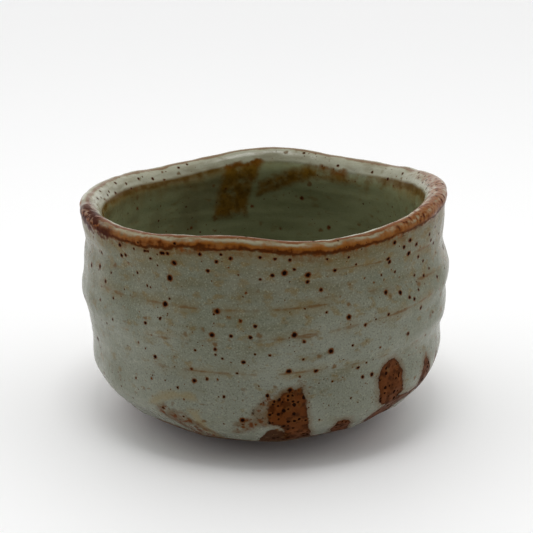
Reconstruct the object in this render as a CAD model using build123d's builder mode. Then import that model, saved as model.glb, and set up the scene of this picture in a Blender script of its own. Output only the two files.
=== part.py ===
from build123d import *
import os
from math import cos, hypot, radians, sin

# Matcha bowl: a thrown and hand-pressed clay body on a turned foot ring, with two coats
# of glaze. Millimetres, +Z up. The origin is the centre of the face it stands on.
# Angles run from the front (-Y) round by the right (+X).

# ---- driving dimensions ----
FOOT_HEIGHT = 5.0
FOOT_OUTER_RADIUS = 29.0
FOOT_INNER_RADIUS = 23.0
FOOT_EDGE = 1.0                 # rounding of the edges that meet the table
FOOT_DRAFT = 1.2                # how much the ring widens where it joins the base

GLAZE = 0.8                     # thickness of each coat
SEAM_HEIGHT = 63.0              # inside the mouth, where the two coats meet

RIM_STEP = 30                   # degrees between the places where the rim is set
RIM_LEVEL = 74.6                # middle height of the lip's crest
# rise of the crest over its middle height, and spread of the mouth, every RIM_STEP
RIM_RISE = [0.1, -0.8, 2.5, 2.7, -0.2, -1.4, 0.2, -3.0, -2.9, -2.2, -1.8, -0.9]
RIM_SPREAD = [0.4, -0.5, 0.2, -0.7, 0.3, 0.4, 0.6, 0.0, 0.0, -0.3, 0.0, -0.1]
RISE_START = 25.0               # below this height the outside runs level
RING_SPACING = 1.7              # between the rings that the surfaces are drawn through

# Rings of the surface: (height, radius, lean towards +X)
BASE_EDGE = (FOOT_HEIGHT, 46.5, -1.1)
# outside, from the lower edge of the glaze up to the neck, over the throwing ridges
WALL = [
    (7.0, 49.5, -0.5),
    (10.5, 53.4, -0.1),
    (15.0, 57.4, 0.0),
    (19.5, 59.3, 0.2),
    (24.5, 59.5, 0.6),
    (29.5, 58.9, 0.3),
    (33.0, 59.4, 0.2),
    (36.5, 60.3, 0.6),
    (40.5, 60.8, 0.0),
    (44.5, 61.1, -0.5),
    (48.5, 61.3, 0.3),
    (52.5, 60.6, 0.0),
    (57.5, 59.8, -0.5),
    (62.5, 59.5, -0.1),
    (67.0, 60.2, -0.5),
]
# rolled lip, from the outside over the crest to the inside: (drop below the crest, radius)
LIP = [
    (3.6, 60.6),
    (2.2, 61.0),
    (0.8, 60.5),
    (0.0, 58.9),
    (0.5, 56.5),
    (2.9, 54.1),
    (5.0, 53.1),
]
LIP_LEAN = -0.6
# inside, from the seam of the coats down to the tea pool in the middle of the floor
INSIDE = [
    (SEAM_HEIGHT, 52.9, LIP_LEAN),
    (57.0, 53.4, -0.4),
    (50.0, 54.0, -0.2),
    (36.0, 53.8, 0.0),
    (26.0, 52.8, 0.0),
    (19.0, 50.0, 0.0),
    (14.5, 45.0, 0.0),
    (12.0, 38.0, 0.0),
    (11.0, 26.0, 0.0),
    (10.8, 15.0, 0.0),
    (10.2, 11.5, 0.0),
    (9.9, 6.0, 0.0),
]


# ---- stations: (height, radius, lean, share of the rim's rise) ----
def share_of_rise(height, start):
    """Share of the rim's rise and spread taken at a height, from none at start."""
    full = RIM_LEVEL - LIP[0][0]
    return min(max((height - start) / (full - start), 0.0), 1.0)


def smooth_line(given):
    """Closely spaced (height, radius, lean) on a smooth line through the given ones."""
    with BuildLine() as line:
        Spline(*[(radius, lean, height) for height, radius, lean in given])
    curve = line.edge()
    count = round(curve.length / RING_SPACING)
    places = [curve @ (place / count) for place in range(count + 1)]
    return [(place.Z, place.X, place.Y) for place in places]


def outside_stations():
    """Stations from the lower edge of the glaze, over the lip, to the seam."""
    lip = [(RIM_LEVEL - drop, radius, LIP_LEAN) for drop, radius in LIP]
    stations = []
    start = RISE_START
    for height, radius, lean in smooth_line(WALL + lip + INSIDE[:1]):
        if stations and height < stations[-1][0]:
            start = SEAM_HEIGHT
        stations.append((height, radius, lean, share_of_rise(height, start)))
    return stations


def inside_stations():
    """Stations from the seam down to the middle of the floor, all level."""
    return [station + (0.0,) for station in smooth_line(INSIDE)]


def under_glaze(stations, floor_end):
    """The same stations one coat deeper: the clay's own surface.

    A coat's edge is cut level, and on the floor it is measured straight down.
    """
    last = len(stations) - 1
    deeper = []
    for place, (height, radius, lean, rise) in enumerate(stations):
        before = stations[max(place - 1, 0)]
        after = stations[min(place + 1, last)]
        climb = after[0] - before[0]
        widen = after[1] - before[1]
        if place == last and floor_end:
            climb = 0.0
        elif place in (0, last):
            widen = 0.0
        length = hypot(climb, widen)
        inward = GLAZE * climb / length
        down = GLAZE * widen / length
        deeper.append((height + down, radius - inward, lean, rise))
    return deeper


# ---- rings, faces and solids ----
def ring(height, radius, lean, rise):
    """Closed ring round the bowl, as uneven as the rim is at this height."""
    points = []
    for place, (lift, spread) in enumerate(zip(RIM_RISE, RIM_SPREAD)):
        angle = radians(place * RIM_STEP)
        reach = radius + lean * sin(angle) + rise * spread
        points.append((reach * sin(angle), -reach * cos(angle), height + rise * lift))
    with BuildLine() as line:
        Spline(*points, periodic=True)
    return line.wire()


def skin(stations):
    """Faces from ring to ring through these stations."""
    return Shell.make_loft([ring(*station) for station in stations], ruled=True).faces()


def level_ring(outer, inner):
    """Flat face between two rings at one height."""
    return Face(ring(*outer), [ring(*inner)])


def closed(*faces):
    """Solid bounded by these faces."""
    return Solid(Shell(list(faces)))


outside_air = outside_stations()
outside_clay = under_glaze(outside_air, floor_end=False)
inside_air = inside_stations()
inside_clay = under_glaze(inside_air, floor_end=True)

outer_clay_skin = skin(outside_clay)
inner_clay_skin = skin(inside_clay)

# ---- thrown body: base, wall and lip in one piece of clay ----
base_edge = BASE_EDGE + (0.0,)
with BuildPart() as thrown_body:
    add(
        closed(
            Face(ring(*base_edge)),
            *skin([base_edge, outside_clay[0]]),
            *outer_clay_skin,
            *inner_clay_skin,
            Face(ring(*inside_clay[-1])),
        )
    )

# ---- foot ring, turned and joined under the base ----
with BuildPart() as foot_ring:
    with BuildSketch(Plane.XZ):
        with BuildLine():
            Polyline(
                (FOOT_INNER_RADIUS, 0),
                (FOOT_OUTER_RADIUS, 0),
                (FOOT_OUTER_RADIUS + FOOT_DRAFT, FOOT_HEIGHT),
                (FOOT_INNER_RADIUS - FOOT_DRAFT / 2, FOOT_HEIGHT),
                close=True,
            )
        make_face()
    revolve(axis=Axis.Z)
    fillet(foot_ring.edges().group_by(Axis.Z)[0], FOOT_EDGE)

# ---- outer glaze: from above the base, up the wall, over the lip, into the mouth ----
with BuildPart() as outer_glaze:
    add(
        closed(
            *skin(outside_air),
            *outer_clay_skin,
            level_ring(outside_air[0], outside_clay[0]),
            level_ring(outside_clay[-1], outside_air[-1]),
        )
    )

# ---- inner glaze: poured coat from the mouth down over the whole floor ----
with BuildPart() as inner_glaze:
    add(
        closed(
            *skin(inside_air),
            *inner_clay_skin,
            level_ring(inside_clay[0], inside_air[0]),
            Face(ring(*inside_air[-1])),
            Face(ring(*inside_clay[-1])),
        )
    )

# ---- write ----
thrown_body.part.label = "thrown_body"
foot_ring.part.label = "foot_ring"
outer_glaze.part.label = "outer_glaze"
inner_glaze.part.label = "inner_glaze"

os.makedirs("parts", exist_ok=True)
export_step(thrown_body.part, "parts/thrown_body.step")
export_step(foot_ring.part, "parts/foot_ring.step")
export_step(outer_glaze.part, "parts/outer_glaze.step")
export_step(inner_glaze.part, "parts/inner_glaze.step")
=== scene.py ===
"""Looks of the matcha bowl: two coats of glaze, the clay body and its turned foot ring.

Lengths are in metres unless a name ends in _mm. Angles run from the front of the bowl (-Y)
round by its right (+X). A grid has one row per station along the bowl's section and one
column per angle round it.
"""

from functools import reduce
from math import cos, pi, radians, sin

import bpy
import numpy as np
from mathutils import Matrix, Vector
from mathutils.bvhtree import BVHTree


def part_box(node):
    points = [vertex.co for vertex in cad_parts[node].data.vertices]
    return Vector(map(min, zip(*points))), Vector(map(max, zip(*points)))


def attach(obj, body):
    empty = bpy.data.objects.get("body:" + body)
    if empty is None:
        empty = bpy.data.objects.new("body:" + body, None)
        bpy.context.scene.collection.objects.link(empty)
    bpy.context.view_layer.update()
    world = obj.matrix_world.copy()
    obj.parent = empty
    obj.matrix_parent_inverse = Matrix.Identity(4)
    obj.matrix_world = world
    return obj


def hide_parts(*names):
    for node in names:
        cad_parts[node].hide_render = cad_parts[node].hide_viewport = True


MM = 0.001

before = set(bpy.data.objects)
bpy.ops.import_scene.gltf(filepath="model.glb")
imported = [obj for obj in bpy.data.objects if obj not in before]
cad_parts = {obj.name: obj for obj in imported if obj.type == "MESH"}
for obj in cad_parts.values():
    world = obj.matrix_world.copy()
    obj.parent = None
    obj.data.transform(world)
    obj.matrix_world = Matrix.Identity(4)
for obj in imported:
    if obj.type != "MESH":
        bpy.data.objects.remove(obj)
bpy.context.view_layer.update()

# ---- measures taken from the frame ----
foot_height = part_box("foot_ring")[1].z
glaze_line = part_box("outer_glaze")[0].z
seam_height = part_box("inner_glaze")[1].z
coat_mm = (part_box("thrown_body")[0].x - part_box("outer_glaze")[0].x) / MM
far = 2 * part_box("outer_glaze")[1].x  # clear of the bowl on every side

# ---- grid sizes ----
COLUMNS = 540
SAMPLED_COLUMNS = 72
HARMONICS = 14  # of the bowl's unevenness round its axis
ROWS_UNDER = 44
ROWS_OUTSIDE = 112
ROWS_LIP = 34
ROWS_INSIDE = 168
FIRST_OUTSIDE = ROWS_UNDER
FIRST_LIP = FIRST_OUTSIDE + ROWS_OUTSIDE
FIRST_INSIDE = FIRST_LIP + ROWS_LIP
SMOOTHING = 5  # passes that take the facets off
LIP_CORE_DEPTH = 3.6 * MM  # middle of the rolled lip, below its crest
CREST_STEP = 0.5 * MM  # between the tries for the lip's highest point
CREST_TRIES = 12
BASE_CLEAR = 0.05 * MM  # by which rays at the wall's foot miss the base
POLE_GAP = 0.015  # share by which the end rows miss the axis


# ---- Form: the clay's surface, read from the frame along each section ----
def node_tree(name):
    """Ray-cast tree of one CAD node's surface."""
    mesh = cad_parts[name].data
    points = [vertex.co.copy() for vertex in mesh.vertices]
    faces = [list(face.vertices) for face in mesh.polygons]
    return BVHTree.FromPolygons(points, faces)


def find(tree, angle, start, aim):
    """Where a ray at this angle from start to aim, both (radius, height), meets the surface."""
    outward = Vector((sin(angle), -cos(angle), 0))
    origin = outward * start[0] + Vector((0, 0, start[1]))
    target = outward * aim[0] + Vector((0, 0, aim[1]))
    place = tree.ray_cast(origin, (target - origin).normalized())[0]
    return place.dot(outward), place.z


def crest_height(tree, angle):
    """Highest point of the lip at this angle."""
    widest = find(tree, angle, (far, seam_height), (0, seam_height))[0]
    tries = [widest - step * CREST_STEP for step in range(1, CREST_TRIES + 1)]
    return max(find(tree, angle, (radius, far), (radius, 0))[1] for radius in tries)


def section(tree, angle):
    """(radius, height) of the clay from the middle of its underside, round to the floor."""
    level = crest_height(tree, angle) - LIP_CORE_DEPTH
    base = foot_height + BASE_CLEAR
    edge = find(tree, angle, (far, base), (0, base))[0]
    outer = find(tree, angle, (far, level), (0, level))[0]
    inner = find(tree, angle, (0, level), (far, level))[0]
    core = (outer + inner) / 2
    shares = np.linspace(POLE_GAP, 1, ROWS_UNDER, endpoint=False)
    points = [(edge * share, foot_height) for share in shares]
    for height in np.linspace(base, level, ROWS_OUTSIDE, endpoint=False):
        points.append(find(tree, angle, (far, height), (0, height)))
    for turn in np.linspace(0, pi, ROWS_LIP, endpoint=False):
        away = (core + core / 2 * cos(turn), level + core / 2 * sin(turn))
        points.append(find(tree, angle, away, (core, level)))
    for turn in np.linspace(0, pi / 2 - POLE_GAP, ROWS_INSIDE):
        points.append(find(tree, angle, (0, level), (cos(turn), level - sin(turn))))
    return points


def spread_round(values):
    """Rows of values known at SAMPLED_COLUMNS angles, as smooth rows of COLUMNS."""
    spectrum = np.fft.rfft(values, axis=1)
    spectrum[:, HARMONICS + 1:] = 0
    padded = np.zeros((len(values), COLUMNS // 2 + 1), complex)
    padded[:, :spectrum.shape[1]] = spectrum
    return np.fft.irfft(padded, COLUMNS, axis=1) * (COLUMNS / SAMPLED_COLUMNS)


def smoothed(rows, passes):
    """Rows averaged with their neighbours, the first and last kept."""
    for _ in range(passes):
        rows = rows.copy()
        rows[1:-1] = (rows[:-2] + 2 * rows[1:-1] + rows[2:]) / 4
    return rows


def normals_of(points):
    """Unit normals of a grid that closes round the axis, pointing out of the clay."""
    along = np.gradient(points, axis=0)
    around = np.roll(points, -1, axis=1) - np.roll(points, 1, axis=1)
    normal = np.cross(around, along)
    length = np.linalg.norm(normal, axis=2, keepdims=True)
    normal = normal / np.maximum(length, 1e-15)
    normal[0] = (0, 0, -1)
    normal[-1] = (0, 0, 1)
    return normal


def read_form():
    """Grid of the clay's smooth surface in the frame."""
    steps = np.arange(SAMPLED_COLUMNS) * 2 * pi / SAMPLED_COLUMNS
    tree = node_tree("thrown_body")
    sampled = np.array([section(tree, step) for step in steps])
    radius = smoothed(spread_round(sampled[:, :, 0].T), SMOOTHING)
    height = smoothed(spread_round(sampled[:, :, 1].T), SMOOTHING)
    return np.stack([radius * np.sin(turns), -radius * np.cos(turns), height], axis=2)


turns = np.arange(COLUMNS) * 2 * pi / COLUMNS
form = read_form()

# Each column's angle in degrees, -180 to 180, and each point's place in millimetres.
angle = (np.degrees(turns) + 180) % 360 - 180
place_mm = form / MM
height_mm = place_mm[..., 2]
radius_mm = np.hypot(place_mm[..., 0], place_mm[..., 1])
row = np.arange(len(form))


# ---- Hand work: what throwing, pressing and trimming leave on the clay, in millimetres ----
WAVE_COUNT = 40  # cosines in one random field


def waves(size, seed, squash=1.0):
    """Smooth random field, mostly -1 to 1, with features of this size, flattened by squash."""
    rng = np.random.default_rng(seed)
    heading = rng.normal(size=(WAVE_COUNT, 3))
    heading /= np.linalg.norm(heading, axis=1, keepdims=True)
    pace = 2 * pi / size * rng.uniform(0.6, 1.5, WAVE_COUNT)
    start = rng.uniform(0, 2 * pi, WAVE_COUNT)
    spots = place_mm * (1, 1, squash)
    total = np.cos(spots @ (heading * pace[:, None]).T + start).sum(axis=2)
    return total / np.sqrt(WAVE_COUNT)


def unevenness(table):
    """Sum of the waves in a table of (depth, size, seed, squash)."""
    return sum(depth * waves(size, seed, squash) for depth, size, seed, squash in table)


def rows_share(first, full, last_full, last):
    """Share per row that rises from 0 to 1 between the first two rows and falls in the last."""
    return np.interp(row, [first, full, last_full, last], [0, 1, 1, 0])[:, None]


def soft(value, low, high):
    """0 below low, 1 above high, smooth between."""
    share = np.clip((value - low) / (high - low), 0, 1)
    return share * share * (3 - 2 * share)


def apart(centre):
    """Degrees of each column from this angle, the short way round."""
    return (angle - centre + 180) % 360 - 180


OUTSIDE = rows_share(FIRST_OUTSIDE, FIRST_OUTSIDE + 3, FIRST_LIP - 6, FIRST_LIP + 6)
LIP = rows_share(FIRST_LIP - 8, FIRST_LIP + 4, FIRST_INSIDE - 2, FIRST_INSIDE + 6)
INSIDE = rows_share(FIRST_INSIDE, FIRST_INSIDE + 10, len(form) - 6, len(form) - 1)
UNDER = rows_share(0, 1, FIRST_OUTSIDE - 6, FIRST_OUTSIDE)

# Unevenness: (depth, size, seed, squash)
OUTSIDE_WAVES = [(0.2, 30, 1, 1.5), (0.05, 30, 2, 7.0)]
LIP_WAVES = [(0.09, 20, 3, 1.0), (0.015, 5, 4, 1.0)]
INSIDE_WAVES = [(0.18, 26, 5, 1.4), (0.06, 26, 6, 6.0)]
UNDER_WAVES = [(0.12, 8, 7, 1.0)]
# Finger lines: (middle angle, half span, height in the middle, rise per degree, depth, width)
FINGER_LINES = [
    (-8, 62, 53.2, 0.03, 0.22, 1.1),
    (48, 40, 55.2, -0.03, 0.2, 1.0),
    (5, 66, 45.0, 0.075, 0.24, 1.0),
    (10, 56, 33.6, 0.035, 0.2, 0.9),
    (42, 34, 64.6, 0.0, 0.22, 0.9),
    (118, 50, 48.0, 0.03, 0.25, 1.2),
    (150, 70, 38.5, -0.04, 0.22, 1.0),
    (-140, 64, 52.0, 0.03, 0.24, 1.1),
    (-120, 50, 34.0, -0.03, 0.22, 1.0),
    (175, 60, 61.0, 0.02, 0.16, 1.0),
]
# Knife facets on the hip: (angle, half width, height, half height, depth)
FACETS = [
    (-66, 15, 12.0, 7.0, 0.5),
    (-38, 15, 9.5, 6.0, 0.7),
    (-9, 14, 8.0, 5.0, 0.5),
    (20, 13, 9.0, 5.0, 0.55),
    (44, 13, 10.5, 6.0, 0.7),
    (70, 15, 12.5, 7.0, 0.5),
    (102, 16, 11.0, 6.0, 0.6),
    (133, 14, 9.5, 6.0, 0.6),
    (163, 16, 11.5, 7.0, 0.5),
    (-166, 13, 9.0, 6.0, 0.6),
    (-134, 17, 11.0, 6.0, 0.6),
    (-99, 15, 10.0, 6.0, 0.6),
]
# Presses of the hand: (angle, half width, height, half height, push outwards)
PRESSES = [
    (-6, 26, 8.0, 6.0, 1.0),
    (80, 24, 18.0, 9.0, -1.0),
    (-84, 20, 20.0, 8.0, -0.4),
]


def finger_lines():
    """Shallow grooves left by the fingertips, fading at their ends."""
    depth = np.zeros_like(height_mm)
    for middle, half_span, height, climb, deep, wide in FINGER_LINES:
        along = apart(middle)
        centre = height + climb * along
        fade = soft(half_span - np.abs(along), 0, half_span * 0.5)
        depth -= deep * fade * np.exp(-((height_mm - centre) / wide) ** 2)
    return depth


def facets():
    """Flat cuts of the trimming knife round the hip."""
    depth = np.zeros_like(height_mm)
    for centre, half_width, height, half_height, deep in FACETS:
        across = 1 - (apart(centre) / half_width) ** 2
        up = 1 - ((height_mm - height) / half_height) ** 2
        depth = np.minimum(depth, -deep * np.clip(across, 0, 1) * np.clip(up, 0, 1))
    return depth


def presses():
    """Where the hands pressed the low wall in, or left it full."""
    push = np.zeros_like(height_mm)
    for centre, half_width, height, half_height, out in PRESSES:
        across, up = apart(centre) / half_width, (height_mm - height) / half_height
        push += out * np.exp(-across ** 2 - up ** 2)
    return push


def turning_marks(pitch, depth):
    """A fine spiral about the axis, as a tool or a finger leaves on the wheel."""
    return depth * np.cos(2 * pi * radius_mm / pitch - turns)


FLOOR_SPIRAL = (6.0, 0.16)  # pitch and depth
UNDER_SPIRAL = (2.6, 0.1)
FLOOR_LEVEL_MM = 30  # height from which the floor's spiral is measured down
FLOOR_BELOW_MM = (6, 16)  # below that level: where it is none, where full
SPIRAL_EYE_MM = (2, 8)  # from the axis: where the floor's spiral starts
TOKIN_HEIGHT_MM = 1.3  # the small peak left under the middle
TOKIN_RADIUS_MM = 6

hand_work = OUTSIDE * (unevenness(OUTSIDE_WAVES) + finger_lines())
hand_work += (facets() + presses()) * rows_share(0, FIRST_OUTSIDE, FIRST_LIP - 1, FIRST_LIP)
hand_work += LIP * unevenness(LIP_WAVES)
hand_work += INSIDE * unevenness(INSIDE_WAVES)
on_floor = soft(FLOOR_LEVEL_MM - height_mm, *FLOOR_BELOW_MM)
on_floor = on_floor * rows_share(FIRST_INSIDE + 40, FIRST_INSIDE + 60, len(form), len(form) + 1)
hand_work += on_floor * turning_marks(*FLOOR_SPIRAL) * soft(radius_mm, *SPIRAL_EYE_MM)
hand_work += UNDER * (turning_marks(*UNDER_SPIRAL) + unevenness(UNDER_WAVES))
tokin = UNDER * TOKIN_HEIGHT_MM * soft(TOKIN_RADIUS_MM - radius_mm, 0, TOKIN_RADIUS_MM)

clay = form + normals_of(form) * ((hand_work + tokin) * MM)[..., None]
clay_normal = normals_of(clay)


# ---- Glaze: how thick each coat lies, and where the outer one stops ----
def row_near(height, first, last):
    """The row from first to last whose mean height is nearest."""
    means = form[first:last, :, 2].mean(axis=1)
    return first + int(np.argmin(np.abs(means - height)))


SEAM_ROW = row_near(seam_height, FIRST_INSIDE, len(form))
EDGE_ROW = row_near(glaze_line, FIRST_OUTSIDE, FIRST_LIP)
EDGE_WANDER = 3.0  # rows by which the glaze's edge rises and falls
# The waves that the edge follows: (count round the bowl, share, phase)
EDGE_WAVES = [(2, 0.3, 0.4), (5, 0.3, 2.0), (9, 0.25, 1.1), (17, 0.15, 0.3)]
EDGE_BLEND = 14  # rows over which the wandering dies out
BEAD_MM = 1.6  # width of the rounded edge
BEAD_SWELL = 0.2  # by which the coat is thicker just behind it
RUNS = [(0.1, 14, 8, 0.6), (0.03, 4, 9, 1.0)]  # unevenness of the coat, as a share of it
THIN_LIP = 0.3  # share by which it may be thinner on the lip
FILLED_LINES = 0.5  # share of a finger line that it fills
BACK_STEP = 8  # a coat's hidden side keeps one row in this many
BODY_STEP = 4  # and the body below the coats one in this many


def path_mm(points):
    """Length along the section from its first row, averaged round the bowl."""
    steps = np.linalg.norm(np.diff(points, axis=0), axis=2).mean(axis=1)
    return np.concatenate([[0], np.cumsum(steps)]) / MM


def wandering_rows(rows):
    """The rows of the outer coat, as fractional rows per column: the lower edge wanders."""
    wander = sum(size * np.sin(count * turns + start) for count, size, start in EDGE_WAVES)
    lift = EDGE_WANDER * (0.5 + 0.5 * wander)
    fade = np.clip(1 - (rows - rows[0]) / EDGE_BLEND, 0, 1)
    return rows[:, None] + lift[None, :] * fade[:, None]


def at_rows(grid, fractional):
    """Grid values at fractional rows, one set per column."""
    below = np.clip(np.floor(fractional).astype(int), 0, len(grid) - 2)
    share = (fractional - below)[..., None]
    column = np.arange(COLUMNS)[None, :]
    return grid[below, column] * (1 - share) + grid[below + 1, column] * share


def coat_thickness():
    """Thickness of the glaze on every point of the clay, in millimetres."""
    thin_lip = THIN_LIP * LIP * soft(waves(12, 10), -0.6, 1.0)
    return coat_mm * (1 + unevenness(RUNS) - thin_lip) - FILLED_LINES * finger_lines()


def bead(distance_mm):
    """Share of the full thickness at this distance from a coat's edge."""
    inside = np.clip(distance_mm / BEAD_MM, 0.02, 1)
    swell = BEAD_SWELL * np.exp(-((distance_mm - BEAD_MM) / BEAD_MM) ** 2)
    return np.sqrt(1 - (1 - inside) ** 2) + swell


section_mm = path_mm(form)
thickness_mm = coat_thickness()
outer_rows = wandering_rows(np.arange(EDGE_ROW, SEAM_ROW + 1, dtype=float))
outer_clay = at_rows(clay, outer_rows)
outer_normal = at_rows(clay_normal, outer_rows)
outer_thick = at_rows(thickness_mm[..., None], outer_rows)[..., 0]
outer_thick = outer_thick * bead(path_mm(outer_clay))[:, None]
outer_face = outer_clay + outer_normal * (outer_thick * MM)[..., None]

inner_clay = clay[SEAM_ROW:]
inner_face = inner_clay + clay_normal[SEAM_ROW:] * (thickness_mm[SEAM_ROW:] * MM)[..., None]


# ---- Marks in the glaze: (angle, height in mm), and a degree is about a millimetre ----
RUST_PATCHES = [
    [(4.5, 26), (10.5, 28.3), (11.5, 25), (12.3, 19), (13.3, 15), (16.8, 7.5),
     (7, 5), (6, 14), (4.8, 16), (1.2, 17), (0.5, 22)],
    [(25, 5), (22, 12), (22.5, 15.5), (26.5, 15.5), (28, 13.5), (31, 7)],
    [(35.5, 24), (35.5, 27), (37.3, 30), (39.5, 32.3), (42, 32.5), (44.5, 30), (46, 27), (46, 22),
     (47.3, 19.7), (43, 17), (38, 17.5), (36, 20)],
    [(40, 5), (37, 9.5), (36, 13), (40, 17.5), (46, 18.5), (53, 17.3), (58, 17.5), (54, 13),
     (48, 8)],
]
# Ovals of rust: (angle, height, half width, half height)
RUST_OVALS = [
    (59.5, 21, 3.2, 6),
    (70, 20, 2.4, 5),
    (-94, 21, 4.5, 9),
    (-112, 9, 9, 4.5),
    (-147, 14, 5, 7.5),
    (-176, 8, 7, 4),
    (146, 19, 5, 9),
    (118, 8, 8, 4.5),
    (99, 12, 4, 6.5),
]
SCORCHES = [
    [(-3, 4), (-2, 10), (-1, 12.5), (1, 14.5), (3, 15), (5.5, 13.7), (7.5, 11), (9.5, 4)],
    [(-136, 4), (-134, 10), (-130, 12), (-126, 9), (-124, 4)],
    [(153, 4), (155, 11), (160, 13), (165, 9), (166, 4)],
]
WASHES = [
    [(-35, 17), (-31, 20), (-24, 17.5), (-18, 13), (-13, 7.5), (-23, 6), (-30, 11)],
    [(-10, 13), (-8, 17.5), (-3, 21.5), (-0.5, 25.5), (7, 28), (7, 16), (1, 17.5), (-5, 14)],
    [(-82, 15), (-76, 18), (-66, 14), (-60, 9), (-72, 8)],
    [(160, 19), (166, 23), (175, 20), (172, 15)],
    [(-130, 17), (-124, 21), (-116, 19), (-121, 14)],
]
INSIDE_BRUSH = [
    [(181, 72), (183, 66), (186, 62), (188, 50), (201, 50), (199, 58), (195, 72)],
    [(183, 58), (182, 62.5), (170, 67), (160, 69), (159, 66), (168, 63)],
    [(145, 65.5), (148, 70), (157, 71), (158, 65.5)],
]
PALE_ARCS = [
    [(-38, 18), (-35, 22), (-29, 25), (-21, 25), (-20, 22.5), (-28, 22), (-34, 19)],
    [(-24, 20), (-20, 20), (-17, 13), (-13, 7), (-17, 7), (-21, 13)],
]
NO_MARK_MM = 30.0  # the distance written where there is no mark
OVAL_CORNERS = 16


def oval(middle, height, half_width, half_height):
    """Outline of an oval, a little narrower at its top."""
    corners = []
    for step in range(OVAL_CORNERS):
        turn = 2 * pi * step / OVAL_CORNERS
        across = half_width * cos(turn) * (1 - 0.2 * sin(turn))
        corners.append((middle + across, height + half_height * sin(turn)))
    return corners


def outline_distance(corners):
    """Distance of every grid point from this outline, negative inside it."""
    middle = sum(corner[0] for corner in corners) / len(corners)
    across = np.broadcast_to(apart(middle), height_mm.shape)
    outline = [(corner[0] - middle, corner[1]) for corner in corners]
    nearest = np.full(height_mm.shape, NO_MARK_MM)
    inside = np.zeros(height_mm.shape, bool)
    for (u1, v1), (u2, v2) in zip(outline, outline[1:] + outline[:1]):
        edge_u, edge_v = u2 - u1, v2 - v1
        share = ((across - u1) * edge_u + (height_mm - v1) * edge_v) / (edge_u ** 2 + edge_v ** 2)
        share = np.clip(share, 0, 1)
        gap = np.hypot(across - u1 - share * edge_u, height_mm - v1 - share * edge_v)
        nearest = np.minimum(nearest, gap)
        crosses = (v1 > height_mm) != (v2 > height_mm)
        if edge_v:
            inside ^= crosses & (across < u1 + (height_mm - v1) / edge_v * edge_u)
    return np.where(inside, -nearest, nearest)


def marks(outlines, first, last):
    """Distance from the nearest of these outlines, for the rows from first to last."""
    distance = np.min([outline_distance(corners) for corners in outlines], axis=0)
    here = ((row >= first) & (row < last))[:, None]
    return np.where(here, distance, NO_MARK_MM)


def line_distance():
    """Distance from the nearest finger line, growing past its ends."""
    distance = np.full(height_mm.shape, NO_MARK_MM)
    for middle, half_span, height, climb, _, _ in FINGER_LINES:
        along = apart(middle)
        past = np.clip(np.abs(along) - half_span * 0.8, 0, None)
        distance = np.minimum(distance, np.abs(height_mm - height - climb * along) + past)
    distance[FIRST_LIP:] = NO_MARK_MM
    return distance


rust_outlines = RUST_PATCHES + [oval(*values) for values in RUST_OVALS]
crest_mm = section_mm[FIRST_LIP + ROWS_LIP // 2]
grid_marks = {
    "along": np.broadcast_to((section_mm - crest_mm)[:, None], height_mm.shape),
    "rust": marks(rust_outlines, FIRST_OUTSIDE, FIRST_LIP),
    "scorch": marks(SCORCHES, FIRST_OUTSIDE, FIRST_LIP),
    "wash": marks(WASHES, FIRST_OUTSIDE, FIRST_LIP),
    "pale": marks(PALE_ARCS, FIRST_OUTSIDE, FIRST_LIP),
    "brush": marks(INSIDE_BRUSH, FIRST_INSIDE - ROWS_LIP // 2, len(form)),
    "line": line_distance(),
}

# Iron spots that the photo shows outside, (angle, height in mm), by size.
LARGE_SPOTS = [
    (-6.7, 17.7), (7.2, 27.3), (-15, 45.5), (5, 65), (12, 63.5), (-21, 29), (7, 34), (-26, 66),
    (-28, 61), (19, 40), (37, 54.5), (-46, 68.5), (24, 49.5), (47, 64.5), (8, 46.5), (-13, 52.5),
    (-29, 53),
]
MEDIUM_SPOTS = [
    (10.2, 27.6), (2.7, 24.2), (6.5, 25.6), (8.2, 24), (6.7, 21.7), (8.7, 17.4), (10.3, 18),
    (12, 17.3), (10, 22.5), (1.3, 20), (0.7, 25.8), (-2.7, 16.2), (-13, 68), (-9, 69),
    (-18, 70.5), (-1, 70.5), (3, 71.5), (7, 71.5), (-16, 64.5), (16, 58.5), (20, 64), (-3, 49),
    (-7, 50.5), (-4, 45.5), (-9, 45.5), (-14, 40.5), (-6, 37.5), (11, 44), (15, 33.5), (30, 28.5),
    (33, 29), (28, 32.5), (-17, 30), (-34, 34.5), (-36, 45.5), (43, 53.5), (46, 51.5), (52, 46),
    (48, 50), (52, 62), (39, 64), (59, 66), (-44, 65), (-46, 64.5), (-7, 15.5), (-32, 18),
    (47, 69), (55, 55.5), (2, 64), (38, 65), (-22, 32.5), (46, 39), (29, 46), (62, 53), (40, 70),
    (12, 61.5), (-28.2, 69.6), (-29.2, 69.5), (-30.2, 69.6), (57, 68), (61, 64), (50, 67),
    (44, 67.5), (-58, 62), (-55, 54),
]
SMALL_SPOTS = [
    (-14, 39), (-12, 38), (-14, 30.5), (-43, 25), (-36, 27), (-27, 26), (-12, 25), (-28, 54.5),
    (-1, 62.5), (-5, 58.5), (22, 56), (25, 40.5), (11, 38), (10, 32), (20, 29), (31, 33.5),
    (37, 48), (8, 65.5), (-36, 57), (-12, 70.5), (-25, 16.5), (-29, 10.5), (51, 52), (24, 68),
    (30, 60), (33, 58), (-40, 60), (-8, 33), (1, 40), (17, 52), (-31, 48), (-20, 40), (-40, 38),
    (35, 38), (-50, 50), (-52, 57), (57, 35), (60, 42), (64, 60), (-34.4, 69.9), (-35.4, 69.8),
    (-36.3, 69.7), (-57, 47), (-60, 56), (-62, 66), (-50, 43), (-55, 40), (66, 47), (55, 60),
    (58, 57), (62, 69), (67, 66), (50, 57), (41, 60), (36, 60), (27, 65), (-34, 66), (-40, 69),
    (17, 68),
]
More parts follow.
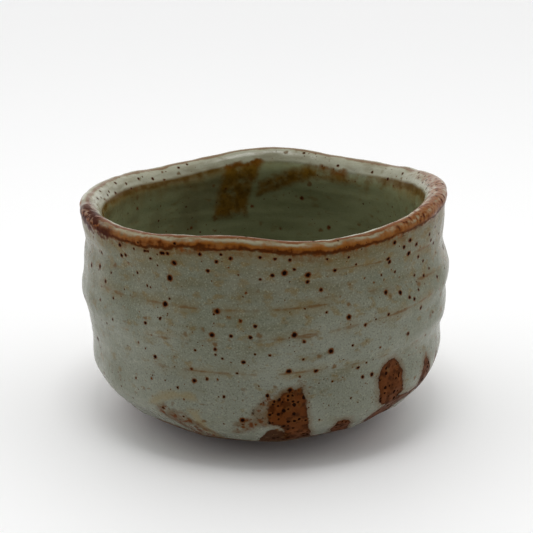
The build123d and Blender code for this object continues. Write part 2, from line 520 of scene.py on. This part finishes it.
# On the lip, (angle, mm outwards from its crest).
LIP_SPOTS = [
    (-98, -0.6), (-117, -2.4), (-119, -4.5), (-132, -3.1), (-137, -4.1), (-145, -0.9),
    (-149, -0.3), (-138, -1.2), (165, -0.3), (151, -2.8), (135, -3.1), (125, -4.5), (119, -1.7),
    (102, -0.4), (99, -2.4), (89, -1.7), (-104, -2.5), (-101, -3.0), (-90, -1.5), (-84, -2.2),
    (-5, 1.4), (14, 1.2), (-25, 3.6), (3, 3.9), (-38, 4.4), (75, 0.8), (68, 1.6), (92, 1.1),
    (84, 0.2), (97, -1.2), (93, -0.6), (88, -2.9), (82, -1.2), (79, -2.2), (72, -0.4),
    (105, -1.6), (109, 0.1), (-96, -3.4), (-94, -2.2), (-108, -3.8), (-112, -0.9), (-125, -2.0),
]
# Inside, (angle, height in mm).
INSIDE_SPOTS = [
    (238, 59.5), (211, 47), (174, 44.5), (154, 46.5), (130, 57), (185, 53.5), (183, 62.5),
    (165, 57), (226, 66), (120, 64), (143, 64), (199, 41), (88, 52), (270, 50), (60, 48),
    (305, 55), (20, 40), (340, 52),
]

mean_face = form + normals_of(form) * coat_mm * MM  # of the outer coat, without hand work


def scattered(count, seed):
    """Random (angle, height) round the sides and back, where no spots are listed."""
    rng = np.random.default_rng(seed)
    return list(zip(rng.uniform(70, 305, count), rng.uniform(14, 71, count)))


def column_at(turn):
    """The grid's column nearest this angle."""
    return int(round(turn % 360 / 360 * COLUMNS)) % COLUMNS


def on_surface(grid, spots, first, last):
    """Points in mm on the rows from first to last of a grid, at (angle, height in mm)."""
    points = []
    for turn, height in spots:
        heights = grid[first:last, column_at(turn), 2] / MM
        nearest = first + int(np.argmin(np.abs(heights - height)))
        points.append(tuple(grid[nearest, column_at(turn)] / MM))
    return points


def outside_points(spots):
    return on_surface(mean_face, spots, FIRST_OUTSIDE, FIRST_LIP)


def lip_points(spots):
    """Points in mm at an angle and a distance outwards along the section from the lip's crest."""
    rows = [int(np.argmin(np.abs(crest_mm - section_mm - out))) for _, out in spots]
    return [tuple(mean_face[near, column_at(turn)] / MM) for near, (turn, _) in zip(rows, spots)]


# ---- Materials ----
class Shader:
    """A material and short ways to add its nodes. Any input may be a number or a socket."""

    def __init__(self, name, colour):
        self.material = bpy.data.materials.new(name)
        self.material.use_nodes = True
        self.tree = self.material.node_tree
        self.principled = self.tree.nodes["Principled BSDF"]
        metres = self.node("TexCoord").outputs["Object"]
        self.place = self.vector("SCALE", metres, Scale=1 / MM)
        self.x, self.y, self.z = self.node("SeparateXYZ", Vector=self.place).outputs
        self.colour = colour

    def node(self, kind, **inputs):
        """A new node of this kind, with these inputs."""
        node = self.tree.nodes.new("ShaderNode" + kind)
        for name, value in inputs.items():
            self.put(node.inputs[name], value)
        return node

    def put(self, socket, value):
        if isinstance(value, bpy.types.NodeSocket):
            self.tree.links.new(value, socket)
        else:
            socket.default_value = value

    def put_colour(self, socket, colour):
        self.put(socket, colour if isinstance(colour, bpy.types.NodeSocket) else (*colour, 1))

    def set(self, name, value):
        self.put(self.principled.inputs[name], value)

    def vector(self, operation, *values, **named):
        node = self.node("VectorMath")
        node.operation = operation
        for socket, value in zip(node.inputs, values):
            self.put(socket, value)
        for name, value in named.items():
            self.put(node.inputs[name], value)
        return node.outputs["Value" if operation == "DISTANCE" else "Vector"]

    def math(self, operation, *values):
        node = self.node("Math")
        node.operation = operation
        for socket, value in zip(node.inputs, values):
            self.put(socket, value)
        return node.outputs[0]

    def add(self, *values):
        return reduce(lambda total, value: self.math("ADD", total, value), values)

    def times(self, *values):
        return reduce(lambda total, value: self.math("MULTIPLY", total, value), values)

    def shaken(self, value, *noises):
        """The value with each (noise, amount) added."""
        return self.add(value, *(self.times(noise, amount) for noise, amount in noises))

    def gap(self, value, centre, *noises):
        """Distance of the value, with each (noise, amount) added, from a centre."""
        return self.math("ABSOLUTE", self.shaken(self.add(value, -centre), *noises))

    def step(self, value, low, high):
        """Smooth 0 to 1 as the value goes from low to high, which may lie either way round."""
        node = self.node("MapRange", Value=value)
        node.interpolation_type = "SMOOTHSTEP"
        node.inputs["From Min"].default_value = min(low, high)
        node.inputs["From Max"].default_value = max(low, high)
        node.inputs["To Min"].default_value = float(low > high)
        node.inputs["To Max"].default_value = float(low <= high)
        return node.outputs["Result"]

    def mark(self, name):
        node = self.node("Attribute")
        node.attribute_name = name
        return node.outputs["Fac"]

    def stretched(self, x, y, z):
        return self.vector("MULTIPLY", self.place, (x, y, z))

    def combined(self, x, y, z):
        return self.node("CombineXYZ", X=x, Y=y, Z=z).outputs[0]

    def noise(self, size_mm, detail, place=None, seed=0.0):
        """Noise centred on 0, about -0.5 to 0.5, with features of this size."""
        shifted = self.vector("ADD", place or self.place, (seed, seed * 1.7, seed * 0.6))
        node = self.node("TexNoise", Vector=shifted, Scale=1 / size_mm, Detail=detail)
        return self.math("SUBTRACT", node.outputs[0], 0.5)

    def noise_vector(self, size_mm):
        """Three noises centred on 0 as one vector."""
        node = self.node("TexNoise", Vector=self.place, Scale=1 / size_mm)
        return self.vector("SUBTRACT", node.outputs["Color"], (0.5, 0.5, 0.5))

    def cells(self, size_mm, place=None):
        """(distance in mm from the nearest cell's point, that cell's random number)."""
        place = place or self.place
        node = self.node("TexVoronoi", Vector=place, Scale=1 / size_mm, Randomness=0.8)
        chance = self.node("SeparateColor", Color=node.outputs["Color"]).outputs[0]
        return self.times(node.outputs["Distance"], size_mm), chance

    def nearest(self, place, points):
        """Distance in mm from the nearest of these points."""
        gaps = [self.vector("DISTANCE", place, point) for point in points]
        return reduce(lambda least, gap: self.math("MINIMUM", least, gap), gaps)

    def layer(self, below, share, colour):
        """The colour below, covered by another where the share is 1."""
        node = self.node("Mix")
        node.data_type = "RGBA"
        self.put(node.inputs[0], share)
        self.put_colour(node.inputs[6], below)
        self.put_colour(node.inputs[7], colour)
        return node.outputs[2]

    def paint(self, colour, *shares):
        """Covers the colour so far with another, by the product of the shares."""
        self.colour = self.layer(self.colour, self.times(*shares), colour)

    def brightness(self, colour):
        return self.node("RGBToBW", Color=colour).outputs[0]

    def bump(self, height_mm, strength):
        node = self.node("Bump", Strength=strength, Distance=MM, Height=height_mm)
        self.set("Normal", node.outputs["Normal"])


SATIN = 0.27  # roughness of the glaze, on average
GLOSS = 0.1  # specular level of the glaze
DULL_BELOW = (0.01, 0.12)  # brightness from none to all of that gloss: iron dulls the glaze
RIM_GLOSS = 0.3  # added where the glaze is palest, over the lip
SHINY_ABOVE = (0.23, 0.28)  # brightness from none to all of what is added
GREY_GREEN = (0.162, 0.17, 0.121)
PALE_GREY = (0.218, 0.227, 0.178)
GRAIN_DARK = (0.085, 0.085, 0.055)
OLIVE = (0.125, 0.108, 0.05)
INSIDE_GREEN = (0.2, 0.212, 0.11)
TAN = (0.165, 0.108, 0.03)
STAIN = (0.12, 0.057, 0.014)
ORANGE = (0.19, 0.055, 0.009)
THIN_RUST = (0.1, 0.048, 0.009)
RUST = (0.105, 0.028, 0.004)
DARK_RUST = (0.036, 0.01, 0.003)
SCORCHED = (0.048, 0.014, 0.003)
IRON = (0.008, 0.003, 0.002)
CREAM = (0.33, 0.33, 0.235)
PEACH = (0.25, 0.185, 0.075)
CRUST = (0.13, 0.031, 0.002)
GOLDEN = (0.22, 0.078, 0.009)
RIM_BROWN = (0.13, 0.037, 0.005)
PURPLE_BROWN = (0.045, 0.013, 0.008)
INSIDE_BROWN = (0.14, 0.068, 0.004)
BREAK_BROWN = (0.085, 0.042, 0.004)
CLAY_DARK, CLAY_LIGHT = (0.1, 0.045, 0.025), (0.2, 0.1, 0.055)
FOOT_DARK, FOOT_LIGHT = (0.12, 0.055, 0.03), (0.24, 0.125, 0.07)

# Edges of the bands over the lip, in mm outwards from its crest: (where it is none, where full)
CREAM_OUTER, CREAM_INNER = (3.6, 2.8), (-4.8, -3.6)
BAND_TOP, BAND_FOOT = (2.5, 3.6), (5.7, 4.3)
CRUST_TOP = (3.3, 4.4)
STAIN_TOP = (1, 4)
INSIDE_FROM = (-3.8, -5.8)
# Middles of its lines
DARK_LINE = 4.7
CREST_LINE = 0.8
INNER_BREAK = -4.5

JITTER_MM = 0.65  # raggedness of a spot's edge
HALO = 2.2  # radii out to which a spot's rust bleeds
LARGE_MM, MEDIUM_MM, SMALL_MM = 0.68, 0.5, 0.35  # radii of the spots
LIP_MM, INSIDE_MM = 0.38, 0.6
FLECK_MM = 4.4  # size of the cells that hold a brown fleck each
FLECK_BEND = 2.5  # mm by which the flecks are pulled out of round
SPECK_MM = 1.5  # size of the cells that hold a speck in the rust
FLASH_MM = (41.0, 47.0)  # from the axis: clay flashed by the glaze beside it
GRIT_MM = 0.9  # size of the cells that hold a grain of grit
# Random spots everywhere: (cell size in mm, chance below which a cell has none, mm of radius
# for each unit of chance above it)
RANDOM_SPOTS = [
    (4.6, 0.74, 1.4),
    (2.4, 0.68, 0.8),
    (1.5, 0.6, 0.45),
]


def add_ground(shader):
    """Mottled glaze with brown clouds and flecks; paler towards the foot and darker olive towards
    the lip, partly its own tone and partly painted light and shade.
    """
    paint, step, noise, shaken = shader.paint, shader.step, shader.noise, shader.shaken
    streaked = shader.stretched(1, 1, 3.0)
    broad = noise(22, 3, seed=3)
    paint(PALE_GREY, step(broad, -0.12, 0.16))
    # Painted light, partly the glaze's own tone: paler grey towards the foot.
    paint(PALE_GREY, step(shaken(shader.z, (broad, 40)), 50, 15), 0.55)
    cloud = shaken(noise(13, 4, streaked, 11), (shader.z, 0.003))
    paint(OLIVE, step(cloud, 0.12, 0.38), 0.6)
    # Painted shade, partly the glaze's own tone: darker olive towards the lip.
    paint(OLIVE, step(shaken(shader.z, (broad, 50)), 46, 72), 0.48)
    tan = shaken(noise(4, 4, shader.stretched(1, 1, 1.5), 61), (shader.z, 0.0022))
    paint(TAN, step(tan, 0.14, 0.3), 0.6)
    fleck = noise(2.4, 3, shader.stretched(1, 1, 2.0), 5)
    where = step(noise(15, 2, streaked, 29), -0.1, 0.12)
    paint(STAIN, step(fleck, 0.11, 0.24), where, 0.7)
    grain = noise(0.5, 1, seed=7)
    paint(CREAM, step(grain, 0.05, 0.25), 0.45)
    paint(GRAIN_DARK, step(grain, -0.05, -0.25), 0.6)


def add_lines(shader):
    """Broken brown stain that has gathered in the finger lines."""
    gap = shader.shaken(shader.mark("line"), (shader.noise(5, 4, seed=13), 2.0))
    gap = shader.math("ABSOLUTE", gap)
    broken = shader.step(shader.noise(9, 4, seed=17), -0.1, 0.1)
    shader.paint(TAN, shader.step(gap, 3.5, 0.0), broken, 0.4)
    shader.paint(STAIN, shader.step(gap, 0.7, 0.1), broken, 0.75)


def add_inside(shader, out):
    """Greener glaze below the lip's inner break, with brown gathered in the break at the sides."""
    paint, step, noise = shader.paint, shader.step, shader.noise
    inside = step(out, *INSIDE_FROM)
    paint(INSIDE_GREEN, inside, 0.85)
    paint(OLIVE, step(noise(20, 3, seed=73), 0.0, 0.2), inside, 0.6)
    smears = noise(5, 4, shader.stretched(1, 1, 2.5), 89)
    paint(INSIDE_BROWN, step(smears, 0.08, 0.25), inside, 0.4)
    cloudy = noise(6, 4, seed=67)
    sides = step(shader.gap(shader.x, 11, (cloudy, 40)), 22, 36)
    fade = step(shader.shaken(out, (cloudy, 14)), -13, -4)
    paint(INSIDE_BROWN, fade, step(out, -3.6, -4.6), sides, 0.6)
    right = step(shader.x, -10, 10)
    gap = shader.gap(out, INNER_BREAK, (right, 0.9), (cloudy, 4))
    back = step(shader.y, -45, -10)
    paint(TAN, step(gap, 3.0, 0.6), sides, back, 0.55)
    blots = step(noise(4, 4, seed=103), -0.15, 0.1)
    blots = shader.shaken(0.55, (blots, 0.45))
    paint(BREAK_BROWN, step(gap, 2.3, 0.7), sides, blots, back, 0.95)


def add_lip(shader, out):
    """Bands over the lip: cream, a rust line on its crest, and a brown band outside.

    Its front left is purple-brown and its right golden, with dark streaks.
    """
    paint, step, noise = shader.paint, shader.step, shader.noise
    times, shaken, x, y = shader.times, shader.shaken, shader.x, shader.y
    streaks = noise(7, 4, shader.combined(x, y, times(out, 3.5)), 23)
    across = noise(1.6, 3, shader.combined(x, y, times(out, 0.25)), 79)
    patchy = noise(8, 3, seed=71)
    fuzzy = noise(1.8, 4, seed=101)
    front = step(shaken(y, (patchy, 30)), 0, -25)

    below = shaken(out, (streaks, 6), (across, 5), (fuzzy, 4))
    outer = step(out, *STAIN_TOP)
    paint(TAN, step(below, 12, 5), outer, 0.35)
    paint(STAIN, step(below, 8, 4.4), outer, 0.75)
    cream = times(step(out, *CREAM_OUTER), step(out, *CREAM_INNER))
    paint(CREAM, cream, 0.85)
    tints = shaken(0.2, (front, 0.55))
    paint(THIN_RUST, cream, step(streaks, -0.05, 0.15), tints)

    top = step(shaken(out, (streaks, 2.5), (fuzzy, 2)), *BAND_TOP)
    foot = step(shaken(out, (streaks, 3), (fuzzy, 3)), *BAND_FOOT)
    band = times(top, foot)
    paint(GOLDEN, band, 0.9)
    crusted = step(shaken(out, (streaks, 4), (across, 2)), *CRUST_TOP)
    paint(CRUST, crusted, band, 0.9)
    dark = shader.gap(out, DARK_LINE, (streaks, 4), (across, 2))
    paint(DARK_RUST, step(dark, 0.85, 0.2), 0.75)

    crest = shader.gap(out, CREST_LINE, (front, -0.9), (streaks, 2), (fuzzy, 0.8))
    share = times(shaken(0.6, (front, 0.35)), step(streaks, -0.3, -0.08))
    paint(TAN, step(crest, 1.5, 0.3), share, 0.6)
    paint(RIM_BROWN, step(crest, 0.85, 0.35), share)

    sideways = shaken(x, (patchy, 30))
    left = times(step(sideways, -42, -50), front)
    left = times(left, step(out, -1.5, 0.5), step(below, 7, 4.5))
    island = shader.add(times(streaks, 1.5), times(across, 0.5), fuzzy)
    paint(CRUST, left, step(island, 0.3, 0.14), 0.8)
    paint(PURPLE_BROWN, left, step(island, 0.16, 0.02), 0.95)

    right = times(step(sideways, 26, 44), step(y, 26, 2))
    right = times(right, step(out, -3, -1), step(out, 5, 3.5))
    streaky = shaken(across, (fuzzy, 0.6))
    paint(GOLDEN, right, step(across, -0.22, 0.08), 0.9)
    paint(CRUST, right, step(streaky, -0.04, 0.1), 0.8)
    paint(PURPLE_BROWN, right, step(streaky, 0.1, 0.2), 0.9)


def add_patches(shader, out):
    """Pale arcs, brown washes, the brushed mark, rust and scorches. Gives the rust's share."""
    paint, step, noise, times = shader.paint, shader.step, shader.noise, shader.times
    coarse = noise(3.5, 4, seed=31)
    ragged = shader.add(times(coarse, 2.3), times(noise(0.6, 2, seed=37), 0.8))
    cloudy = noise(4.5, 4, seed=41)
    fine_cloud = noise(2.0, 4, seed=107)
    paint(PEACH, step(shader.add(shader.mark("pale"), ragged), 0.8, -1.4), 0.5)

    wash_gap = shader.shaken(shader.mark("wash"), (ragged, 1.6))
    wash = times(step(wash_gap, 1.4, -0.8), step(cloudy, -0.18, 0.08))
    paint(THIN_RUST, wash, 0.65)
    smudge = step(fine_cloud, -0.03, 0.12)
    paint(RUST, step(wash_gap, 0.6, -1.5), smudge, 0.95)

    brush_gap = shader.shaken(shader.mark("brush"), (coarse, 3.0))
    brush = times(step(brush_gap, 2.0, -1.2), step(cloudy, -0.35, 0.05))
    edge = shader.shaken(out, (coarse, 4))
    brush = times(brush, step(edge, -3.2, -4.6))
    paint(INSIDE_BROWN, brush, 0.95)
    paint(BREAK_BROWN, brush, step(fine_cloud, -0.1, 0.15), 0.85)
    paint(CRUST, brush, step(edge, -6.2, -4.6), 0.45)

    rust_gap = shader.add(shader.mark("rust"), ragged)
    paint(STAIN, step(rust_gap, 2.4, 0.0), 0.5)
    rust = step(rust_gap, 0.35, -0.3)
    inner = shader.layer(RUST, times(step(cloudy, 0.02, 0.25), 0.5), ORANGE)
    for value, low, high, share in (
        (fine_cloud, -0.04, 0.12, 0.75),
        (cloudy, -0.05, -0.25, 0.8),
        (rust_gap, -1.2, 0.0, 0.6),
    ):
        inner = shader.layer(inner, times(step(value, low, high), share), DARK_RUST)
    paint(inner, rust, 0.96)

    scorch = step(shader.add(shader.mark("scorch"), ragged), 0.4, -0.4)
    flecks = times(step(noise(1.6, 3, seed=97), 0.08, 0.2), 0.7)
    paint(shader.layer(SCORCHED, flecks, STAIN), scorch, 0.95)
    return shader.math("MAXIMUM", shader.math("MAXIMUM", rust, scorch), times(wash, 0.6))


def add_spots(shader, spots, rust):
    """Iron spots: a black core in a ring of rust. Gives the cores' share."""
    paint, step, times = shader.paint, shader.step, shader.times
    offset = shader.noise_vector(0.9)
    place = shader.vector("ADD", shader.place, shader.vector("SCALE", offset, Scale=JITTER_MM))
    shares = [times(shader.nearest(place, points), 1 / size) for points, size in spots]
    for size_mm, lowest, reach in RANDOM_SPOTS:
        gap, chance = shader.cells(size_mm, place)
        radius = shader.math("MAXIMUM", times(shader.add(chance, -lowest), reach), 0.001)
        shares.append(shader.math("DIVIDE", gap, radius))
    spot = reduce(lambda least, share: shader.math("MINIMUM", least, share), shares)

    bend = shader.vector("SCALE", shader.noise_vector(2.0), Scale=FLECK_BEND)
    gap, chance = shader.cells(FLECK_MM, shader.vector("ADD", shader.place, bend))
    paint(STAIN, times(step(gap, 1.2, 0.4), step(chance, 0.64, 0.8)), 0.8)

    spot = times(spot, shader.shaken(1, (shader.noise(6, 2, seed=83), 0.9)))
    core = step(spot, 1.0, 0.75)
    paint(STAIN, step(spot, HALO, 1.2), 0.5)
    paint(RUST, step(spot, 1.5, 1.15), 0.95)
    paint(IRON, core)

    gap, chance = shader.cells(SPECK_MM, place)
    gap = shader.math("DIVIDE", gap, shader.add(times(chance, 0.9), -0.1))
    paint(IRON, step(gap, 1.0, 0.7), step(chance, 0.2, 0.3), rust, 0.95)
    return core


def glaze(name, spots):
    """Glaze of one coat. Both coats share one colour scheme, so that they meet unseen."""
    shader = Shader(name, GREY_GREEN)
    inwards = shader.mark("along")
    out = shader.shaken(shader.times(inwards, -1), (shader.noise(12, 2, seed=19), 1.4))
    add_ground(shader)
    add_lines(shader)
    add_inside(shader, out)
    add_lip(shader, out)
    rust = add_patches(shader, out)
    core = add_spots(shader, spots, rust)
    shader.set("Base Color", shader.colour)
    shader.set("Roughness", shader.shaken(SATIN, (shader.noise(5, 3, seed=43), 0.2), (rust, 0.1)))
    bright = shader.brightness(shader.colour)
    shiny = shader.times(shader.step(bright, *DULL_BELOW), GLOSS)
    shiny = shader.shaken(shiny, (shader.step(bright, *SHINY_ABOVE), RIM_GLOSS))
    shader.set("Specular IOR Level", shiny)
    height = shader.times(shader.noise(2.6, 2, seed=47), 0.1)
    fine = shader.noise(0.7, 2, seed=53)
    shader.bump(shader.shaken(height, (fine, 0.035), (core, -0.12), (rust, -0.06)), 0.8)
    return shader.material


def stoneware(name, dark, light):
    """Bare clay: sandy, dull, with dark grit."""
    shader = Shader(name, dark)
    shader.paint(light, shader.step(shader.noise(9, 4, seed=2), -0.15, 0.2))
    reach = shader.vector("DISTANCE", shader.stretched(1, 1, 0), (0, 0, 0))
    reach = shader.shaken(reach, (shader.noise(5, 3, seed=9), 8))
    shader.paint(THIN_RUST, shader.step(reach, *FLASH_MM), 0.7)
    gap, chance = shader.cells(GRIT_MM)
    grit = shader.times(shader.step(gap, 0.3, 0.15), shader.step(chance, 0.6, 0.8))
    shader.paint(IRON, grit, 0.7)
    shader.set("Base Color", shader.colour)
    shader.set("Roughness", 0.85)
    height = shader.times(shader.noise(0.8, 3, seed=5), 0.18)
    shader.bump(shader.shaken(height, (grit, 0.08)), 0.9)
    return shader.material


outer_spots = [
    (outside_points(LARGE_SPOTS + scattered(24, 1)), LARGE_MM),
    (outside_points(MEDIUM_SPOTS + scattered(50, 2)), MEDIUM_MM),
    (outside_points(SMALL_SPOTS + scattered(50, 3)), SMALL_MM),
    (lip_points(LIP_SPOTS), LIP_MM),
]
inner_spots = [(on_surface(form, INSIDE_SPOTS, FIRST_INSIDE, len(form)), INSIDE_MM)]
glaze_material = glaze("glaze_outside", outer_spots)
inner_material = glaze("glaze_inside", inner_spots)
clay_material = stoneware("bare_clay", CLAY_DARK, CLAY_LIGHT)
foot_material = stoneware("foot_clay", FOOT_DARK, FOOT_LIGHT)


# ---- Meshes ----
def ring_faces(rows, closed):
    """Quads between neighbouring rows of a grid whose columns go round the bowl."""
    first = np.arange(rows if closed else rows - 1)
    column = np.arange(COLUMNS)
    low, left = np.meshgrid(first, column, indexing="ij")
    high, right = (low + 1) % rows, (left + 1) % COLUMNS
    corners = (low, left), (low, right), (high, right), (high, left)
    return np.stack([(row * COLUMNS + turn).ravel() for row, turn in corners], axis=1).tolist()


def cap_faces(ring_start, pole, facing_back):
    """Triangles from one row to its pole."""
    faces = []
    for column in range(COLUMNS):
        here, there = ring_start + column, ring_start + (column + 1) % COLUMNS
        faces.append((there, here, pole) if facing_back else (here, there, pole))
    return faces


def add_object(name, data):
    """A new object in the scene with this mesh, lamp or camera."""
    added = bpy.data.objects.new(name, data)
    bpy.context.scene.collection.objects.link(added)
    return added


def add_piece(name, rows, closed, material, replaced):
    """Object from rows of points. A grid that isn't closed has a pole added at each end."""
    points = rows.reshape(-1, 3)
    faces = ring_faces(len(rows), closed)
    if not closed:
        count = len(points)
        points = np.concatenate([points, [rows[0].mean(axis=0)], [rows[-1].mean(axis=0)]])
        faces += cap_faces(0, count, True)
        faces += cap_faces(count - COLUMNS, count + 1, False)
    mesh = bpy.data.meshes.new(name)
    mesh.from_pydata(points.tolist(), [], faces)
    mesh.shade_smooth()
    mesh.materials.append(material)
    piece = add_object(name, mesh)
    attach(piece, "root")
    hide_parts(replaced)
    return piece


def mark_sharp(piece, *rings):
    """Keeps the shading on the two sides of these rows apart."""
    mesh = piece.data
    ends = np.empty(len(mesh.edges) * 2, np.int32)
    mesh.edges.foreach_get("vertices", ends)
    ring = ends.reshape(-1, 2) // COLUMNS
    sharp = (ring[:, 0] == ring[:, 1]) & np.isin(ring[:, 0], rings)
    layer = mesh.attributes.new("sharp_edge", "BOOLEAN", "EDGE")
    layer.data.foreach_set("value", sharp)


def add_marks(piece, values):
    """Float attributes, one value for each point of the piece's grid."""
    for name, grid in values.items():
        flat = grid.ravel()
        spare = len(piece.data.vertices) - len(flat)
        flat = np.concatenate([flat, np.full(spare, flat[-1])])
        layer = piece.data.attributes.new(name, "FLOAT", "POINT")
        layer.data.foreach_set("value", flat.astype(np.float32))


def back_rows(rows):
    """A coat's hidden side: its clay rows in reverse, thinned out."""
    return rows[[*range(len(rows) - 1, 0, -BACK_STEP), 0]]


outer_loop = np.concatenate([outer_face, back_rows(outer_clay)])
outer = add_piece("glaze_outside", outer_loop, True, glaze_material, "outer_glaze")
mark_sharp(outer, len(outer_face) - 1, 0)
outer_marks = {}
for name, grid in grid_marks.items():
    values = at_rows(grid[..., None], outer_rows)[..., 0]
    outer_marks[name] = np.concatenate([values, back_rows(values)])
add_marks(outer, outer_marks)

inner_back = back_rows(inner_clay)
inner_loop = np.concatenate([inner_back, inner_face])
inner = add_piece("glaze_inside", inner_loop, False, inner_material, "inner_glaze")
mark_sharp(inner, len(inner_back))
inner_marks = {}
for name, grid in grid_marks.items():
    inner_marks[name] = np.concatenate([back_rows(grid[SEAM_ROW:]), grid[SEAM_ROW:]])
add_marks(inner, inner_marks)

# The body's own surface is in full only where no glaze covers it.
covered = EDGE_ROW + EDGE_BLEND
body_rows = np.concatenate([clay[:covered], clay[covered:-1:BODY_STEP], clay[-1:]])
add_piece("clay_body", body_rows, False, clay_material, "thrown_body")


# ---- Foot ring ----
FOOT_ROWS = 12  # on each side of the ring
FOOT_CORNER_ROWS = 5  # round each of its lower edges
FOOT_WORN = 0.9 * MM  # radius of those edges
FOOT_SLOPE = 0.12  # outward lean of the ring's flanks
FOOT_SUNK = 0.3 * MM  # of the ring into the body above it
FOOT_WALL = 6.0 * MM
# The ring isn't quite round: (count of waves, size, phase)
FOOT_WAVES = [(3, 0.15 * MM, 1.0), (7, 0.1 * MM, 0.0)]


def foot_section(inner_radius, outer_radius, top):
    """(radius, height) of the ring's section, up its outside and down its inside."""
    worn = FOOT_WORN
    quarter = np.linspace(0, pi / 2, FOOT_CORNER_ROWS)
    flank = np.linspace(worn, top, FOOT_ROWS)
    sides = []
    for radius, outwards in ((outer_radius, 1), (inner_radius, -1)):
        side = [
            (radius - outwards * worn * (1 - sin(turn)), worn * (1 - cos(turn))) for turn in quarter
        ]
        lean = outwards * FOOT_SLOPE
        side += [(radius + (height - worn) * lean, height) for height in flank[1:]]
        sides.append(side)
    return np.array(sides[0] + sides[1][::-1])


foot_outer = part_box("foot_ring")[1].x
foot_low = foot_outer - foot_height * FOOT_SLOPE
foot_rows = foot_section(foot_outer - FOOT_WALL, foot_low, foot_height + FOOT_SUNK)
wobble = sum(size * np.sin(count * turns + start) for count, size, start in FOOT_WAVES)
foot_radius = foot_rows[:, :1] + wobble[None, :]
foot_grid = np.stack([
    foot_radius * np.sin(turns),
    -foot_radius * np.cos(turns),
    np.repeat(foot_rows[:, 1:], COLUMNS, axis=1),
], axis=2)
add_piece("turned_foot", foot_grid, True, foot_material, "foot_ring")


# ---- Floor, camera and light ----
FLOOR_SIZE = 8.0
FLOOR_COLOUR = (0.9, 0.9, 0.9)
SENSOR_WIDTH = 36  # of the camera, in mm
LENS = 84.36
CAMERA_PLACE = (0.0004, -0.400, 0.1786)
CAMERA_DOWN = 18.2  # degrees below level
SOFTBOX_SIZE = 0.22
SOFTBOX_WATTS = 1.4
SOFTBOX_PLACE = (0.0, -0.1, 0.8)
TENT_DARK = 0.03  # strength of the tent on the camera's side
TENT_LIGHT = 1.22  # and on the far side
TENT_SIDES = 0.45  # how far its light sides come round to the front
TENT_DARK_FROM = -0.55  # share of a direction that points away
TENT_LIGHT_FROM = 0.08


def add_floor():
    mesh = bpy.data.meshes.new("floor")
    half = FLOOR_SIZE / 2
    corners = [(-half, -half, 0), (half, -half, 0), (half, half, 0), (-half, half, 0)]
    mesh.from_pydata(corners, [], [(0, 1, 2, 3)])
    paper = bpy.data.materials.new("floor")
    paper.use_nodes = True
    inputs = paper.node_tree.nodes["Principled BSDF"].inputs
    inputs["Base Color"].default_value = (*FLOOR_COLOUR, 1)
    inputs["Roughness"].default_value = 0.6
    mesh.materials.append(paper)
    floor = add_object("floor", mesh)


def add_camera():
    camera = bpy.data.cameras.new("camera")
    camera.sensor_width = SENSOR_WIDTH
    camera.lens = LENS
    eye = add_object("camera", camera)
    eye.location = CAMERA_PLACE
    eye.rotation_euler = (radians(90 - CAMERA_DOWN), 0, 0)
    bpy.context.scene.camera = eye


def add_softbox():
    """The one lamp: it gives the lip and the rounded edges their highlights."""
    light = bpy.data.lights.new("softbox", "AREA")
    light.size = SOFTBOX_SIZE
    light.energy = SOFTBOX_WATTS
    softbox = add_object("softbox", light)
    softbox.location = SOFTBOX_PLACE
    aim = Vector((0, 0, seam_height)) - softbox.location
    softbox.rotation_euler = aim.to_track_quat("-Z", "Y").to_euler()


def add_world():
    """A white tent that is open, and so darker, on the camera's side."""
    world = bpy.data.worlds.new("studio")
    world.use_nodes = True
    nodes, links = world.node_tree.nodes, world.node_tree.links
    direction = nodes.new("ShaderNodeTexCoord").outputs["Generated"]
    split = nodes.new("ShaderNodeSeparateXYZ")
    side = nodes.new("ShaderNodeMath")
    side.operation = "ABSOLUTE"
    away = nodes.new("ShaderNodeMath")
    away.operation = "MULTIPLY_ADD"
    away.inputs[1].default_value = TENT_SIDES
    fade = nodes.new("ShaderNodeMapRange")
    fade.interpolation_type = "SMOOTHSTEP"
    fade.inputs["From Min"].default_value = TENT_DARK_FROM
    fade.inputs["From Max"].default_value = TENT_LIGHT_FROM
    fade.inputs["To Min"].default_value = TENT_DARK
    fade.inputs["To Max"].default_value = TENT_LIGHT
    for source, target in (
        (direction, split.inputs[0]),
        (split.outputs["X"], side.inputs[0]),
        (side.outputs[0], away.inputs[0]),
        (split.outputs["Y"], away.inputs[2]),
        (away.outputs[0], fade.inputs["Value"]),
        (fade.outputs[0], nodes["Background"].inputs["Strength"]),
    ):
        links.new(source, target)
    nodes["Background"].inputs["Color"].default_value = (1, 1, 1, 1)
    bpy.context.scene.world = world


add_floor()
add_camera()
add_softbox()
add_world()
bpy.context.scene.view_settings.view_transform = "Standard"
